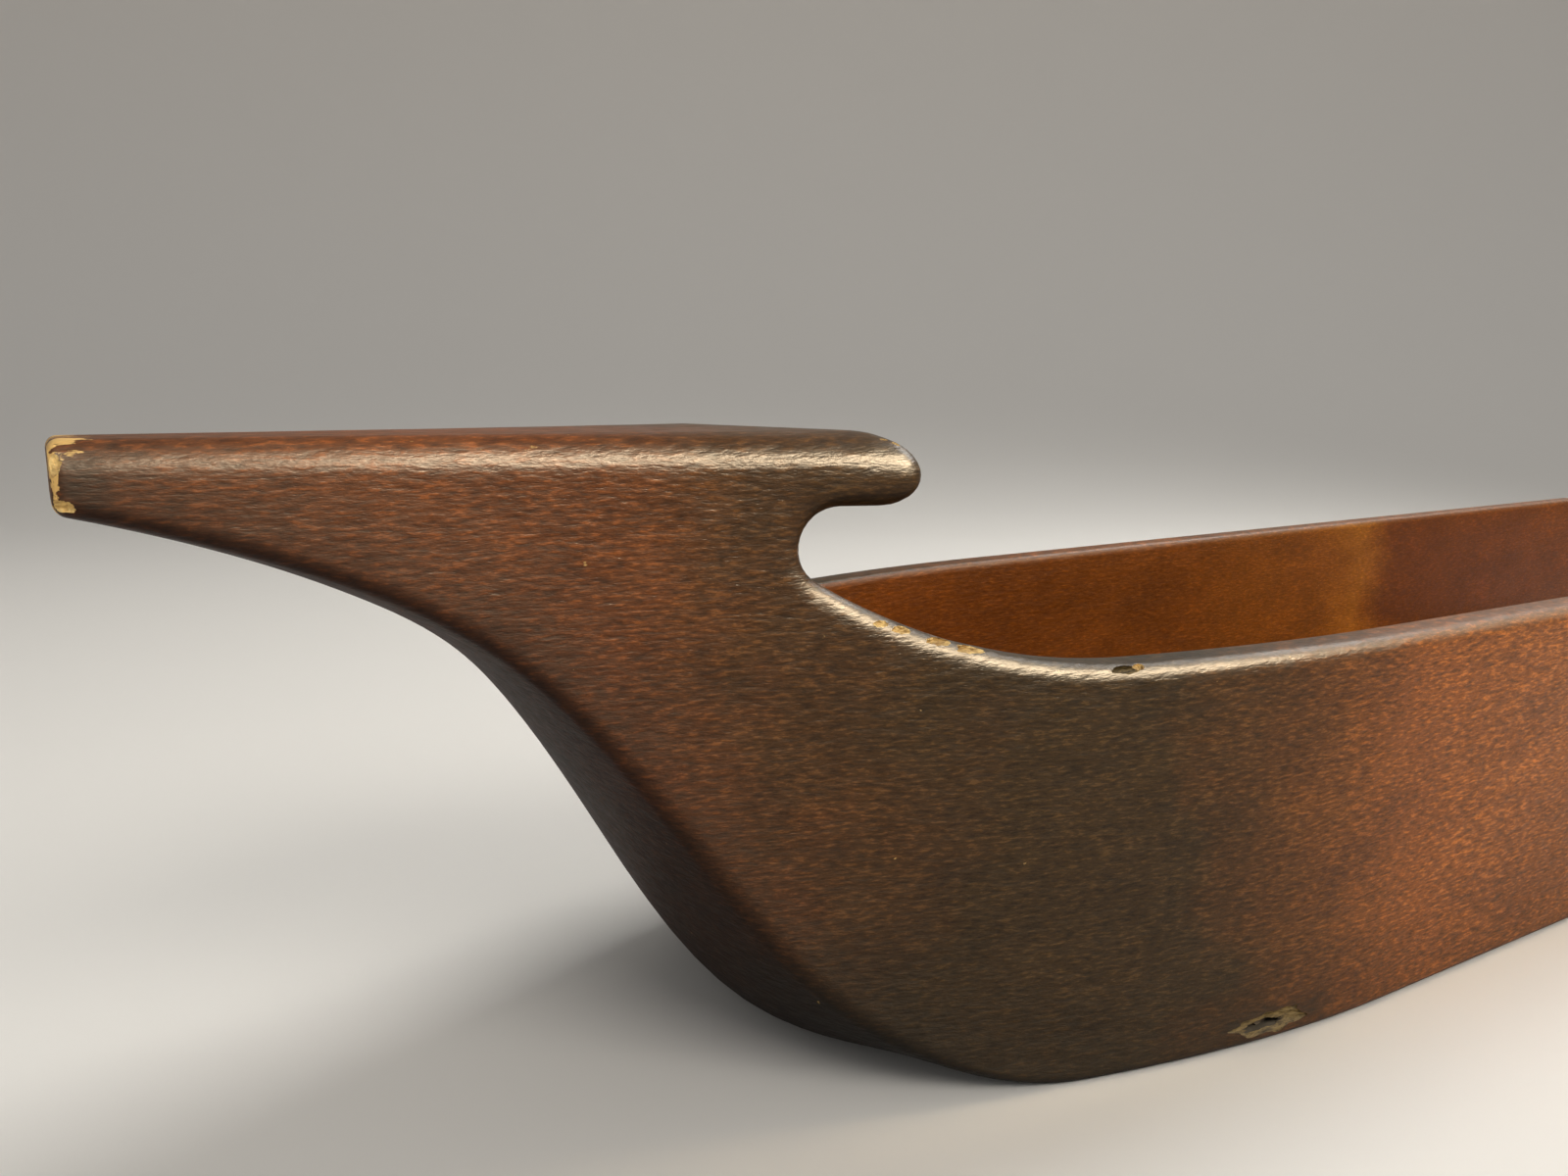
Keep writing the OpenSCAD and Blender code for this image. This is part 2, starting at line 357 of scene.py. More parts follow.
def divide(piece, start, end, across=(), up=()):
    activate(piece)
    bpy.ops.object.mode_set(mode="EDIT")
    for x in stations(start, end):
        bpy.ops.mesh.select_all(action="SELECT")
        bpy.ops.mesh.bisect(plane_co=(x, 0, 0), plane_no=(1, 0, 0), threshold=touch)
    for y in across:
        bpy.ops.mesh.select_all(action="SELECT")
        bpy.ops.mesh.bisect(plane_co=(0, y, 0), plane_no=(0, 1, 0), threshold=touch)
    for z in up:
        bpy.ops.mesh.select_all(action="SELECT")
        bpy.ops.mesh.bisect(plane_co=(0, 0, z), plane_no=(0, 0, 1), threshold=touch)
    leaveEditMode()


def bendToPlan(piece):
    # Even width becomes the plan's width, with the walls kept at their thickness
    # Then come the top's fall and the keel
    wall, even = lines["wall"], hull["halfWidth"]
    for vertex in piece.data.vertices:
        x, y, z = vertex.co
        width = halfWidth(x)
        side = abs(y)
        bent = width - (even - side) if side > even - wall else side * (width - wall) / (even - wall)
        deep = fallFloor(x)
        if x < lines["notchX"] + lines["nubLength"] + mm and z > deep:
            z -= edgeFall(x, bent / width) * (z - deep) / (deckZ - deep)
        if x < lines["sternLength"] and z < edgeZ(x) + hull["keelReach"] * hull["keelEdge"]:
            share = min(1, bent / width)
            z = max(0, z + (keelZ(x) - edgeZ(x)) * (1 - share * share))
        bent += lines["coat"] * smooth(even - wall, even, side)
        vertex.co = (x + tipX, math.copysign(bent, y), z)
    piece.data.update()


def fallFloor(x):
    # The top's fall fades out down to this height, over the handle's depth or, beyond the notch, the nub's
    nubBottom = deckZ - lines["nubThick"]
    handle = min(edgeZ(x), nubBottom)
    return handle + smooth(lines["notchX"] - lines["fallBlend"], lines["notchX"], x) * (nubBottom - handle)


def finishPiece(piece, name):
    piece.name = piece.data.name = name
    editAll(piece)
    bpy.ops.mesh.remove_doubles(threshold=weld)
    bpy.ops.mesh.normals_make_consistent(inside=False)
    leaveEditMode()
    activate(piece)
    bpy.ops.object.shade_smooth_by_angle(angle=creaseAngle)
    print(name, len(piece.data.polygons), "faces")


boardRows = [height * mm for height in (3, 7, 11, 18, 26, 36, 48, 57)]


def makeSideBoard(whole, side, name):
    inner = side * (hull["halfWidth"] - lines["wall"])
    piece = duplicate(whole, name)
    cutOff(piece, (boardStart, 0, 0), (-1, 0, 0))
    cutOff(piece, (0, inner, 0), (0, -side, 0))

    def radiusOf(a, b):
        if abs(a.y - inner) > touch or abs(b.y - inner) > touch:
            return 0
        middle = (a + b) / 2
        if middle.z < slack or middle.x < boardStart + slack:
            return 0
        if middle.z > rimZ(middle.x) - mm:
            return hull["rimInnerEdge"]
        return hull["mouthEdge"] if middle.x > scoopLength - lines["mouthCorner"] else 0

    roundEdges(piece, radiusOf, segments=5)
    divide(piece, boardStart, scoopLength, up=boardRows)
    bendToPlan(piece)
    finishPiece(piece, name)
    return piece


bottom = dict(
    lip=22 * mm,             # how long the board thins towards the mouth
    lipShare=1 / 3,          # the share of its thickness left at the end
    edge=0.8 * mm,
    columns=(-0.6, -0.3, 0, 0.3, 0.6),
)


def makeBottomBoard():
    half = hull["halfWidth"] - lines["wall"]
    piece = makeBox((bottomStart, -half, 0), (scoopLength, half, bottomThick))
    slope = Vector((bottomThick * (1 - bottom["lipShare"]), 0, bottom["lip"]))
    cutOff(piece, (scoopLength - bottom["lip"], 0, bottomThick), slope)

    def radiusOf(a, b):
        across = abs(a.y - b.y) > half
        return bottom["edge"] if across and min(a.x, b.x) > scoopLength - slack else 0

    roundEdges(piece, radiusOf, segments=3)
    divide(piece, bottomStart, scoopLength, [half * share for share in bottom["columns"]])
    bendToPlan(piece)
    finishPiece(piece, "bottomBoard")
    return piece


hollow = dict(
    start=102 * mm,
    toe=2 * mm,
    lip=2.0 * mm,            # rounding where the hollow's wall turns over to the rim
    lipTurns=(80, 64, 48, 32, 16, 0),
    lipOut=1.4,              # how far out the cutter reaches, in lips
    lipUp=0.08,              # how far it stands over the rim, in lips
    lift=0.03 * mm,          # keeps the cutter's lip clear of the rim's own surface
    capDrop=1.5,             # how many thicknesses of the nub the cutter's top lies below the deck
    under=0.5 * mm,          # least depth of the cove below the lip
    steep=-2.0,              # slopes of the cove at its start and where it meets the bottom board
    level=-0.12,
    spare=0.6 * mm,          # the cutter runs this far into the side boards' place
    past=4 * mm,             # and this far past the block's end
    turnPast=1 * mm,         # where its sides meet the round end
    weld=0.005 * mm,
    columns=22,
    floorRows=(1.0, 0.6, 0.3, 0.0),
)


def coveZ(x):
    knots = [(hollow["start"], rimZ(hollow["start"]) + hollow["toe"], hollow["steep"]),
             (blockEnd, bottomThick + hollow["toe"], hollow["level"])]
    return min(curve(knots, x), rimZ(x) - hollow["lip"] - hollow["under"])


def hollowCutter():
    # A bowl: its path goes round the stern end in plan, and its rows over the lip and down across the floor
    reach = hull["halfWidth"] - lines["wall"]
    deep = boardStart - hollow["start"]
    path = []
    for i in range(hollow["columns"] + 1):
        turn = math.pi / 2 * (1 + i / hollow["columns"])
        normal = Vector((math.cos(turn) / deep, math.sin(turn) / reach, 0)).normalized()
        path.append((boardStart + deep * math.cos(turn), reach * math.sin(turn), normal.x, normal.y))
    sideY = reach + hollow["spare"]
    path = [(blockEnd + hollow["past"], sideY, 0, 1), (boardStart + hollow["turnPast"], sideY, 0, 1)] + path
    path += [(x, -y, nx, -ny) for x, y, nx, ny in reversed(path[:-1])]
    lip, capZ = hollow["lip"], deckZ - hollow["capDrop"] * lines["nubThick"]
    rows = [("top", hollow["lipOut"] * lip, 0), ("over", hollow["lipOut"] * lip, 0)]
    rows += [("lip", lip * (1 - math.cos(math.radians(t))), lip * math.sin(math.radians(t)))
             for t in hollow["lipTurns"]]
    rows += [("floor", share, 0) for share in hollow["floorRows"]]
    bpy.ops.mesh.primitive_grid_add(x_subdivisions=len(path) - 1, y_subdivisions=len(rows) - 1, size=1)
    cutter = bpy.context.object
    places = []
    for kind, out, up in rows:
        for x, y, nx, ny in path:
            if kind == "floor":
                places.append((x, y * out, coveZ(x)))
                continue
            place = Vector((x + nx * out, y + ny * out))
            height = rimZ(place.x) - lip + hollow["lift"] + up
            if kind == "top":
                height = capZ
            if kind == "over":
                height = rimZ(place.x) + hollow["lipUp"] * lip + hollow["lift"]
            places.append((place.x, place.y, height))
    placeVertices(cutter, places)
    editAll(cutter)
    bpy.ops.mesh.remove_doubles(threshold=hollow["weld"])
    leaveEditMode()
    cap = [v for v in cutter.data.vertices if v.co.z > capZ - touch]
    selectVertices(cutter, cap)
    bpy.ops.mesh.edge_face_add()
    bpy.ops.mesh.select_all(action="DESELECT")
    bpy.ops.mesh.select_non_manifold(extend=False, use_wire=False, use_boundary=True, use_multi_face=False,
                                     use_non_contiguous=False, use_verts=False)
    bpy.ops.mesh.edge_face_add()
    leaveEditMode()
    outwardNormals(cutter)
    return cutter


stern = dict(
    columns=(0.2, 0.4, 0.6, 0.72, 0.82, 0.92, 1),
    wallColumns=(0.8, 0.6),
    rows=[height * mm for height in range(4, 96, 6)],
    over=20 * mm,            # how far the cutters run past the block
)


def makeSternBlock(whole):
    piece = duplicate(whole, "sternBlock")
    cutOff(piece, (blockEnd, 0, 0), (1, 0, 0))
    even, wall = hull["halfWidth"], lines["wall"]
    columns = [(even - wall) * share for share in stern["columns"]]
    columns += [even - wall * share for share in stern["wallColumns"]]
    divide(piece, 0, blockEnd, [0] + columns + [-y for y in columns], stern["rows"])
    over = stern["over"]
    for side in (-1, 1):
        ys = sorted([side * (even - wall), side * (even + over)])
        carve(piece, makeBox((boardStart, ys[0], -over), (blockEnd + over, ys[1], deckZ)))
    carve(piece, makeBox((bottomStart, -even, -over), (blockEnd + over, even, bottomThick)))
    carve(piece, hollowCutter())
    bendToPlan(piece)
    finishPiece(piece, "sternBlock")
    return piece


whole = makeHull()
print("hull shaped")
sternBlock = makeSternBlock(whole)
rightSideBoard = makeSideBoard(whole, -1, "rightSideBoard")
leftSideBoard = makeSideBoard(whole, 1, "leftSideBoard")
bottomBoard = makeBottomBoard()
bpy.data.objects.remove(whole)
print("pieces sawn")


def tone(code):
    # A paint chart's colour, made linear
    parts = [int(code[i:i + 2], 16) / 255 for i in (1, 3, 5)]
    return [c / 12.92 if c <= 0.04045 else ((c + 0.055) / 1.055) ** 2.4 for c in parts] + [1]


def add(tree, kind, inputs=None, **settings):
    made = tree.nodes.new(kind)
    for key, value in settings.items():
        setattr(made, key, value)
    for key, value in (inputs or {}).items():
        if isinstance(value, bpy.types.NodeSocket):
            tree.links.new(value, made.inputs[key])
        else:
            made.inputs[key].default_value = value
    return made


def newFinish(name, **surface):
    material = bpy.data.materials.new(name)
    material.use_nodes = True
    tree = material.node_tree
    tree.nodes.clear()
    shader = add(tree, "ShaderNodeBsdfPrincipled", surface)
    output = add(tree, "ShaderNodeOutputMaterial")
    tree.links.new(shader.outputs[0], output.inputs["Surface"])
    place = add(tree, "ShaderNodeTexCoord").outputs["Object"]
    return material, tree, shader, place


def grain(tree, place, scale, stretch, detail, roughness):
    mapped = add(tree, "ShaderNodeMapping", {"Vector": place, "Scale": stretch})
    return add(tree, "ShaderNodeTexNoise", {"Vector": mapped.outputs[0], "Scale": scale, "Detail": detail,
                                           "Roughness": roughness}).outputs["Fac"]


def ramp(tree, value, stops):
    made = add(tree, "ShaderNodeValToRGB", {"Fac": value})
    marks = made.color_ramp.elements
    while len(marks) < len(stops):
        marks.new(1)
    for mark, (position, colour) in zip(marks, stops):
        mark.position = position
        mark.color = colour if isinstance(colour, (list, tuple)) else [colour] * 3 + [1]
    return made.outputs["Color"]


def sums(tree, operation, *terms):
    return add(tree, "ShaderNodeMath", dict(enumerate(terms)), operation=operation).outputs[0]


def mixColours(tree, blend, factor, a, b):
    # The colour sockets of a mix node are its seventh and eighth
    made = add(tree, "ShaderNodeMix", {0: factor, 6: a, 7: b}, data_type="RGBA", blend_type=blend)
    return made.outputs[2]


# Scales of the patterns are per metre
stain = dict(
    drift=26,                # how often the toner's edges wander, and how far
    wander=60 * mm,
    blotch=60,
    blotches=[(0.3, 0.74), (0.7, 1.22)],
    fleck=960,
    fleckStretch=(0.5, 0.7, 2.2),
    flecks=[(0.34, 0.3), (0.47, 0.85), (0.55, 1.1), (0.66, 2.5)],
    scuff=420,
    scuffHelp=0.3,           # how far rubbing opens the scuffs
    scuffs=[(0.74, 0.0), (0.79, 1.0)],
    bare=tone("#d9b06a"),
    gloss=420,
    glosses=[(0.3, 0.3), (0.7, 0.46)],
    darkDulling=0.35,        # where the toner and the painted shade are darkest it is this much rougher
    coarse=640,
    fleckDepth=0.6,
    relief=0.14 * mm,
    coatRoughness=0.3,
)


def makeStain(name, stops, strength, lustre, lacquer):
    material, tree, shader, place = newFinish(name)
    shader.inputs["Specular IOR Level"].default_value = lustre
    shader.inputs["Coat Weight"].default_value = lacquer
    shader.inputs["Coat Roughness"].default_value = stain["coatRoughness"]
    apart = add(tree, "ShaderNodeSeparateXYZ", {"Vector": place})
    fromTip = sums(tree, "SUBTRACT", apart.outputs["X"], tipX)
    cloud = grain(tree, place, stain["drift"], (1, 1, 1.3), 4, 0.6)
    drift = sums(tree, "MULTIPLY_ADD", cloud, stain["wander"], -stain["wander"] / 2)
    share = sums(tree, "DIVIDE", sums(tree, "ADD", fromTip, drift), scoopLength)
    colour = ramp(tree, share, stops)
    blotch = ramp(tree, grain(tree, place, stain["blotch"], (0.7, 1, 1.5), 5, 0.65), stain["blotches"])
    colour = mixColours(tree, "MULTIPLY", 1.0, colour, blotch)
    # The shade attribute darkens the colour: the toner along the lower edges, the rims' upward faces, the
    # smudge, and painted shade on faces that look down under the stern
    shade = add(tree, "ShaderNodeAttribute", attribute_name="shade").outputs["Fac"]
    colour = mixColours(tree, "MULTIPLY", 1.0, colour, shade)
    fleck = grain(tree, place, stain["fleck"], stain["fleckStretch"], 3, 0.65)
    colour = mixColours(tree, "MULTIPLY", strength, colour, ramp(tree, fleck, stain["flecks"]))
    # Bare wood: rubbed arrises and the knocked end of the handle
    rubbed = add(tree, "ShaderNodeAttribute", attribute_name="rubbed").outputs["Fac"]
    scuff = grain(tree, place, stain["scuff"], (0.6, 1, 1), 4, 0.6)
    opened = sums(tree, "ADD", scuff, sums(tree, "MULTIPLY", rubbed, stain["scuffHelp"]))
    colour = mixColours(tree, "MIX", ramp(tree, opened, stain["scuffs"]), colour, stain["bare"])
    tree.links.new(colour, shader.inputs["Base Color"])
    gloss = ramp(tree, grain(tree, place, stain["gloss"], (0.5, 0.8, 2.2), 3, 0.6), stain["glosses"])
    dulling = sums(tree, "MULTIPLY_ADD", shade, -stain["darkDulling"], stain["darkDulling"])
    gloss = sums(tree, "ADD", gloss, dulling)
    tree.links.new(gloss, shader.inputs["Roughness"])
    coarse = grain(tree, place, stain["coarse"], (0.5, 0.7, 1.9), 3, 0.6)
    height = sums(tree, "ADD", sums(tree, "MULTIPLY", fleck, stain["fleckDepth"]), coarse)
    bump = add(tree, "ShaderNodeBump", {"Height": height, "Strength": 1.0, "Distance": stain["relief"]})
    tree.links.new(bump.outputs[0], shader.inputs["Normal"])
    tree.links.new(bump.outputs[0], shader.inputs["Coat Normal"])
    return material


# Colour along the length, as shares of it from the handle's end to the mouth
outsideStops = [
    (0.0, tone("#7a421a")),
    (0.07, tone("#7a4119")),
    (0.12, tone("#6e3b17")),
    (0.165, tone("#4f3216")),
    (0.21, tone("#3b2912")),
    (0.265, tone("#3c2a13")),
    (0.325, tone("#683c15")),
    (0.38, tone("#854a19")),
    (0.5, tone("#8c501d")),
    (1.0, tone("#844b1b")),
]
insideStopsWithLitBand = [
    (0.0, tone("#743c0d")),
    (0.2, tone("#70390c")),
    (0.5, tone("#7c430f")),
    # Painted highlight: a bright band of light on the inside where the far wall turns, from 0.62 to 0.7
    (0.62, tone("#8c5012")),
    (0.66, tone("#a86618")),
    (0.7, tone("#763c08")),
    (1.0, tone("#7c4008")),
]
outsideStain = makeStain("outsideStain", outsideStops, strength=0.75, lustre=0.1, lacquer=0.08)
# The inside stain carries the painted band of light
insideStainWithLitBand = makeStain("insideStainWithLitBand", insideStopsWithLitBand, strength=0.35, lustre=0.05, lacquer=0.03)

tonerAndPaintedShade = dict(
    low=0.72,                # how much darker the handle's lower edge is
    lowEase=0.36,            # how much of that is gone along the wall
    easeStart=100 * mm,
    easeEnd=190 * mm,
    lowReach=18 * mm,
    # painted shade: how much darker the faces that look down, under the stern, are
    under=0.6,
    rim=0.45,
    rimReach=3 * mm,
    smudge=0.6,              # a dark smudge by the handle's end
    smudgeX=3 * mm,
    smudgeReach=2.4 * mm,
)
wear = dict(
    arris=0.2,
    top=7 * mm,              # how far from the handle's end the lacquer is rubbed off its top edge
    topFull=2.1 * mm,        # and how far it is rubbed off altogether
    corner=1.2 * mm,         # the same for the corners of the handle's end
    cornerFull=0.2 * mm,
    cornerLeast=0.45,        # the rubbing on their level part
)


def tonerAndPaintedShadeAt(x, z, normal):
    # Darker along the lower edges (the toner), on the rims' upward faces and in the smudge; painted shade
    # under the stern, on faces that look down
    low = max(0, z - edgeZ(x))
    depth = tonerAndPaintedShade["low"] - tonerAndPaintedShade["lowEase"] * smooth(tonerAndPaintedShade["easeStart"], tonerAndPaintedShade["easeEnd"], x)
    shade = 1 - depth * math.exp(-low / tonerAndPaintedShade["lowReach"])
    # Painted shade: faces that look down are darker
    shade *= 1 - tonerAndPaintedShade["under"] * smooth(0.05, 0.7, -normal.z)
    if x > lines["notchX"] + lines["notchRadius"] and abs(z - rimZ(x)) < tonerAndPaintedShade["rimReach"]:
        shade *= 1 - tonerAndPaintedShade["rim"] * smooth(0.3, 0.9, normal.z)
    away = (x - tonerAndPaintedShade["smudgeX"]) / tonerAndPaintedShade["smudgeReach"]
    return shade * (1 - tonerAndPaintedShade["smudge"] * math.exp(-away ** 2) * smooth(0.6, 0.9, -normal.y))


def rubbedAt(x, z, normal):
    arris = 4 * normal.y ** 2 * normal.z ** 2 if normal.z > 0 else 0
    top = smooth(wear["top"], wear["topFull"], x) * smooth(0.25, 0.6, normal.z)
    level = wear["cornerLeast"] + (1 - wear["cornerLeast"]) * smooth(-0.2, 0.3, abs(normal.z))
    return max(wear["arris"] * arris, top, smooth(wear["corner"], wear["cornerFull"], x) * level)


def addLooks(piece):
    vertices = piece.data.vertices
    for name, rule in (("shade", tonerAndPaintedShadeAt), ("rubbed", rubbedAt)):
        values = piece.data.attributes.new(name, "FLOAT", "POINT")
        values.data.foreach_set("value", [rule(v.co.x - tipX, v.co.z, v.normal) for v in vertices])


bareWood = dict(roughness=0.85, lustre=0.1, relief=0.2 * mm)


def makeBare(name, dark, light, scale):
    material, tree, shader, place = newFinish(name, Roughness=bareWood["roughness"])
    shader.inputs["Specular IOR Level"].default_value = bareWood["lustre"]
    fibres = grain(tree, place, scale, (0.3, 1, 1), 4, 0.65)
    shade = ramp(tree, fibres, [(0.34, tone(dark)), (0.6, tone(light))])
    tree.links.new(shade, shader.inputs["Base Color"])
    bump = add(tree, "ShaderNodeBump", {"Height": fibres, "Strength": 1.0, "Distance": bareWood["relief"]})
    tree.links.new(bump.outputs[0], shader.inputs["Normal"])
    return material


def makeSteel():
    material, tree, shader, place = newFinish("wornSteel", Metallic=0.5, Roughness=0.7)
    rust = ramp(tree, grain(tree, place, 900, (1, 1, 1), 4, 0.6),
                [(0.35, tone("#22140b")), (0.6, tone("#3c362f"))])
    tree.links.new(rust, shader.inputs["Base Color"])
    return material


def makeFiller():
    material, tree, shader, place = newFinish("nailFiller", Roughness=0.75)
    shade = ramp(tree, grain(tree, place, 1200, (1, 1, 1), 4, 0.6),
                 [(0.3, tone("#8a6a44")), (0.7, tone("#a98a5c"))])
    tree.links.new(shade, shader.inputs["Base Color"])
    return material


steel, filler = makeSteel(), makeFiller()
chipped = makeBare("chippedWood", "#8a6636", "#e8c884", 900)
broken = makeBare("brokenWood", "#241b0f", "#7d683f", 1500)
# Near black: painted shadow for the deep slit of the broken-out nail hole
paintedHoleShadow = makeBare("paintedHoleShadow", "#060403", "#150e08", 900)


def paint(piece, *finishes):
    piece.data.materials.clear()
    for finish in finishes:
        piece.data.materials.append(finish)


woodPieces = (sternBlock, leftSideBoard, rightSideBoard, bottomBoard)
for piece in woodPieces:
    paint(piece, outsideStain, insideStainWithLitBand)


def inHollow(centre, normal):
    x = centre.x - tipX
    below = centre.z < rimZ(x) - hollow["lip"]
    between = abs(centre.y) < halfWidth(x) - lines["wall"] + slack
    return x > hollow["start"] and normal.z > 0.05 and below and between


def innerFaces(piece, test):
    for face in piece.data.polygons:
        face.material_index = 1 if test(face.center, face.normal) else 0


innerFaces(rightSideBoard, lambda centre, normal: normal.y > 0.5 and centre.z > bottomThick)
innerFaces(leftSideBoard, lambda centre, normal: normal.y < -0.5 and centre.z > bottomThick)
innerFaces(bottomBoard, lambda centre, normal: normal.z > 0.5)
innerFaces(sternBlock, inHollow)

nailLow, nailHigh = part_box("right_bottom_nails")
nailHeadRadius = 2.4 * mm
holeX = (nailLow.x - tipX + nailHeadRadius) / mm
holeY = -halfWidth(holeX * mm) / mm + 0.1
holeZ = (nailLow.z + nailHigh.z) / 2 / mm
# Knocks, in millimetres: place (from the handle's end, across, up), half sizes (along, into and up the wood),
# turn in plan, finish
knocks = dict(
    endTop=((0.3, -12.1, 96.6), (0.9, 0.9, 1.9), 0, chipped),
    endLow=((0.6, -12.0, 91.3), (1.5, 0.9, 0.9), 0, chipped),
    endSide=((0.0, -12.2, 93.9), (0.5, 0.5, 1.6), 0, broken),
    noseOne=((96.6, -32.6, 97.75), (0.75, 0.5, 0.45), 22, chipped),
    noseTwo=((97.9, -33.7, 97.05), (0.7, 0.5, 0.5), 22, chipped),
    rimOne=((95.0, -35.3, 72.7), (1.5, 0.9, 0.6), 22, chipped),
    rimTwo=((98.0, -36.2, 71.7), (1.9, 1.1, 0.7), 22, chipped),
    rimThree=((103.4, -37.6, 69.7), (2.7, 1.1, 0.65), 20, chipped),
    rimFour=((107.8, -39.1, 68.4), (3.0, 1.3, 0.75), 20, chipped),
)
boardKnocks = dict(
    dent=((130.2, -46.6, 64.0), (2.4, 1.2, 0.6), 18, broken),
    dentLip=((132.7, -47.0, 64.2), (0.9, 0.8, 0.5), 18, chipped),
    breakout=((holeX, holeY, holeZ - 1.1), (7.4, 0.8, 1.9), 8.5, broken),
    # the slit is finished in painted shadow
    slit=((holeX - 1, holeY, holeZ - 1.6), (4.2, 2.7, 0.75), 8.5, paintedHoleShadow),
)


ragged = dict(broad=2.3, broadDepth=0.3, fine=7, fineDepth=0.12)


def raggedness(point, place, centre):
    broad = noise.noise(point * ragged["broad"] + place)
    fine = noise.noise(point * ragged["fine"] + centre)
    return 1 + ragged["broadDepth"] * broad + ragged["fineDepth"] * fine


def knock(piece, place, sizes, turn, finish):
    bpy.ops.object.select_all(action="DESELECT")
    bpy.ops.mesh.primitive_ico_sphere_add(subdivisions=4, radius=1)
    lump = bpy.context.object
    turned = math.radians(turn)
    along = Vector((math.cos(turned), -math.sin(turned), 0))
    into = Vector((math.sin(turned), math.cos(turned), 0))
    centre = Vector((tipX, 0, 0)) + Vector(place) * mm
    shaped = []
    for vertex in lump.data.vertices:
        rough = raggedness(vertex.co, Vector(place), centre)
        out = Vector([c * size * mm * rough for c, size in zip(vertex.co, sizes)])
        shaped.append(centre + along * out.x + into * out.y + Vector((0, 0, out.z)))
    placeVertices(lump, shaped)
    paint(lump, finish)
    carve(piece, lump)


def hardenKnocks(piece):
    # A crisp line where the lacquer breaks off
    mesh, finishes = piece.data, {}
    for face in mesh.polygons:
        for key in face.edge_keys:
            finishes.setdefault(key, set()).add(face.material_index > 1)
    for edge in mesh.edges:
        if len(finishes.get(edge.key, ())) > 1:
            edge.use_edge_sharp = True


for piece, marks in ((sternBlock, knocks), (rightSideBoard, boardKnocks)):
    for mark in marks.values():
        knock(piece, *mark)
    activate(piece)
    bpy.ops.object.shade_smooth_by_angle(angle=creaseAngle)
    hardenKnocks(piece)
for piece in woodPieces:
    addLooks(piece)
print("knocks made")

for name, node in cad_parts.items():
    if "nails" in name:
        paint(node, steel)
    if "plugs" in name:
        paint(node, filler)

for piece, node, slot in ((sternBlock, "stern_block", "stern_wood"),
                          (leftSideBoard, "left_side_board", "board_wood"),
                          (rightSideBoard, "right_side_board", "board_wood"),
                          (bottomBoard, "bottom_board", "board_wood")):
    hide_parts(node)
    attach(piece, "root")
print("finishes on")


eye = dict(place=(-0.2611, -0.1615, 0.1032), forward=(0.5277, 0.8342, -0.1601), lens=27.045)
ahead = Vector(eye["forward"][:2] + (0,)).normalized()
rightward = Vector((ahead.y, -ahead.x, 0))
stageLook = dict(near=-9.0, far=0.9, sweep=1.15, bendSteps=24, height=3.5, half=9.0)


def fromEye(right, forward, up):
    # A place on the stage, counted from under the camera
    return Vector(eye["place"][:2] + (0,)) + rightward * right + ahead * forward + Vector((0, 0, up))


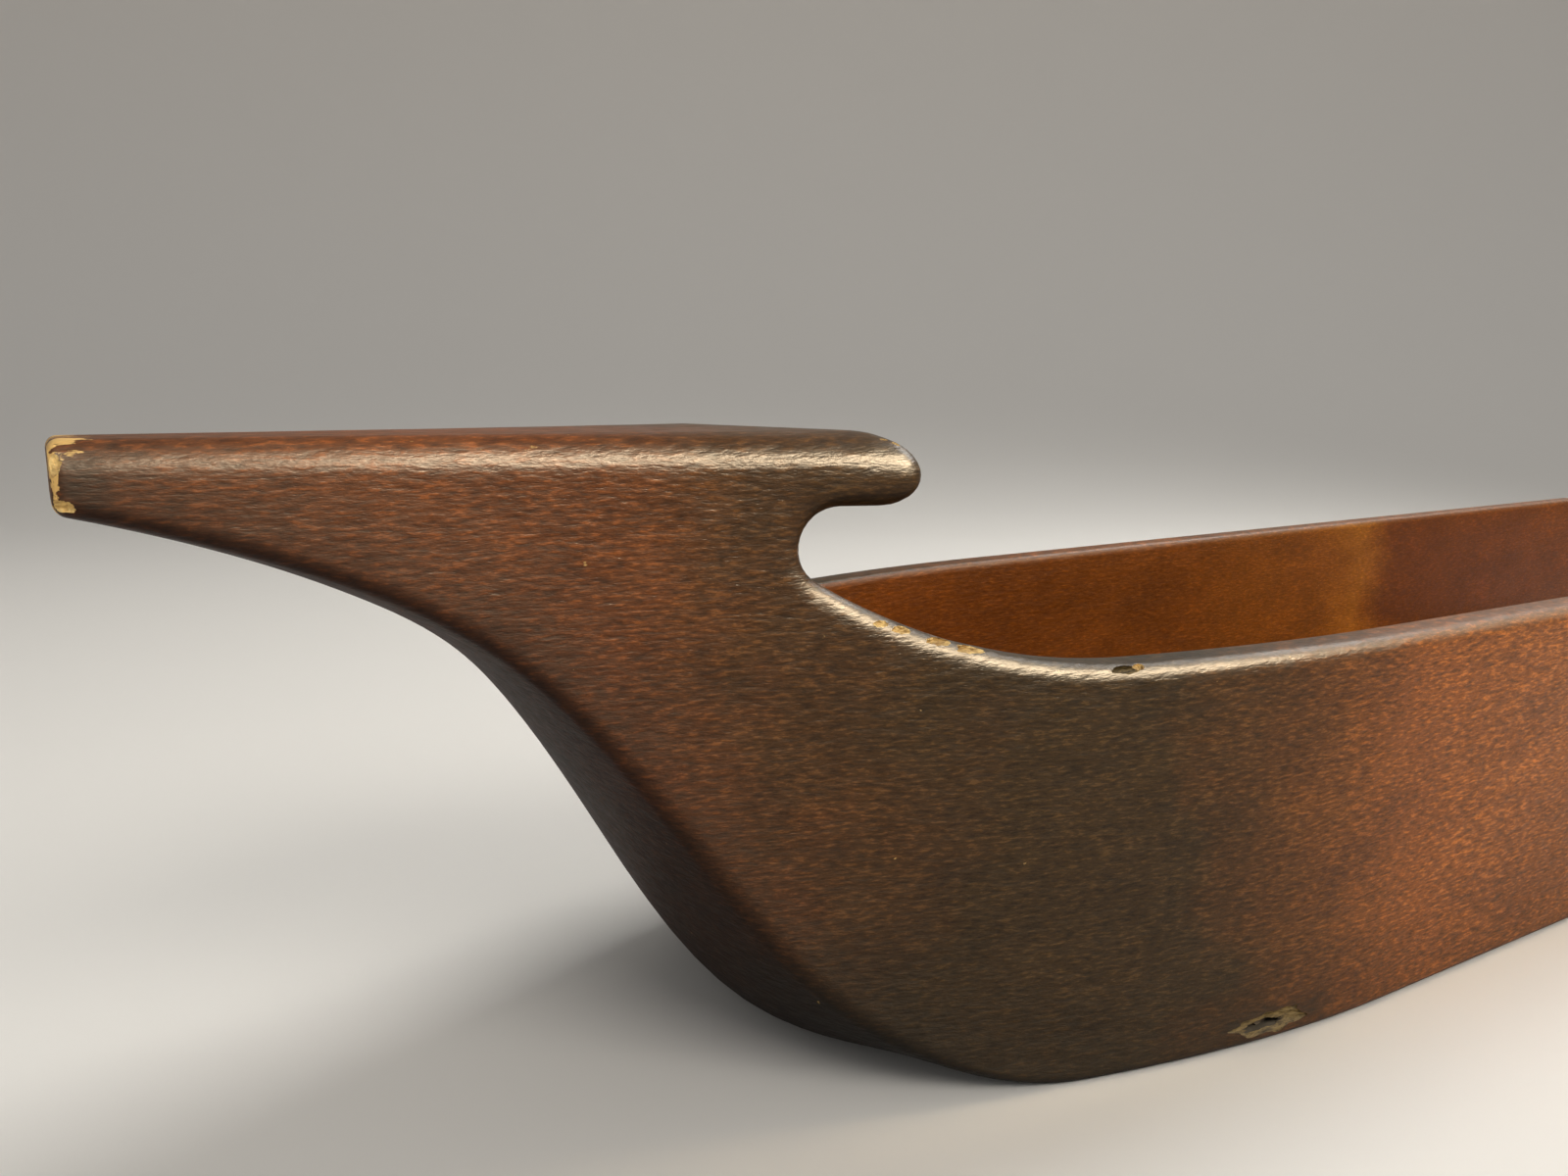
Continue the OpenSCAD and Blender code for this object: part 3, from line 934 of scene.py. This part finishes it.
def makeSweep():
    # Seamless paper: floor, round bend and wall
    bpy.ops.mesh.primitive_plane_add(size=1)
    sweep = bpy.context.object
    sweep.name = sweep.data.name = "paperSweep"
    near, far, half = stageLook["near"], stageLook["far"], stageLook["half"]
    placeVertices(sweep, [fromEye(right, forward, 0) for forward in (near, far) for right in (-half, half)])
    bend = arc(far, stageLook["sweep"], stageLook["sweep"], -90, 0, stageLook["bendSteps"])[1:]
    bend.append((far + stageLook["sweep"], stageLook["height"]))
    lastEdge, at = [2, 3], (far, 0)
    for forward, up in bend:
        selectVertices(sweep, [sweep.data.vertices[index] for index in lastEdge])
        step = ahead * (forward - at[0]) + Vector((0, 0, up - at[1]))
        bpy.ops.mesh.extrude_edges_move(TRANSFORM_OT_translate={"value": step})
        leaveEditMode()
        lastEdge, at = [v.index for v in sweep.data.vertices if v.select], (forward, up)
    activate(sweep)
    bpy.ops.object.shade_smooth_by_angle(angle=math.radians(40))
    material, tree, shader, place = newFinish("paper", Roughness=0.9)
    shader.inputs["Specular IOR Level"].default_value = 0.0
    apart = add(tree, "ShaderNodeSeparateXYZ", {"Vector": place})
    # Painted shade: the paper turns a little darker and warmer up the wall
    rise = sums(tree, "MULTIPLY", apart.outputs["Z"], 0.5)
    shade = ramp(tree, rise, [(0.0, tone("#dfdedb")), (0.6, tone("#dcd7d0"))])
    tree.links.new(shade, shader.inputs["Base Color"])
    paint(sweep, material)


def softbox(name, place, aim, size, power, colour, spread=180, sheenOnly=False):
    lamp = bpy.data.lights.new(name, "AREA")
    lamp.shape = "RECTANGLE"
    lamp.size, lamp.size_y = size
    lamp.energy = power
    lamp.color = tone(colour)[:3]
    lamp.spread = math.radians(spread)
    holder = bpy.data.objects.new(name, lamp)
    bpy.context.scene.collection.objects.link(holder)
    holder.location = place
    holder.rotation_euler = (Vector(aim) - Vector(place)).to_track_quat("-Z", "Y").to_euler()
    holder.visible_diffuse = not sheenOnly


makeSweep()
softbox("front", (-0.1, -0.89, 0.78), (-0.15, -0.03, 0.08), (0.7, 0.4), 6, "#fff8ee")
softbox("strip", (0.16, -0.74, 0.92), (-0.13, -0.03, 0.08), (1.1, 0.42), 240, "#ffe6c0", sheenOnly=True)
softbox("window", (0.9, 0.16, 1.0), (-0.16, 0, 0), (0.5, 0.5), 4, "#fffcf6", spread=90)
world = bpy.data.worlds.new("room")
bpy.context.scene.world = world
world.use_nodes = True
backdrop = world.node_tree.nodes["Background"]
backdrop.inputs["Color"].default_value = tone("#f2efec")
backdrop.inputs["Strength"].default_value = 0.45

lens = bpy.data.cameras.new("camera")
lens.lens = eye["lens"]
lens.sensor_width = 36
lens.clip_start = 0.01
camera = bpy.data.objects.new("camera", lens)
bpy.context.scene.collection.objects.link(camera)
camera.location = eye["place"]
camera.rotation_euler = Vector(eye["forward"]).to_track_quat("-Z", "Y").to_euler()
bpy.context.scene.camera = camera
bpy.context.scene.view_settings.view_transform = "Standard"
print("stage set")
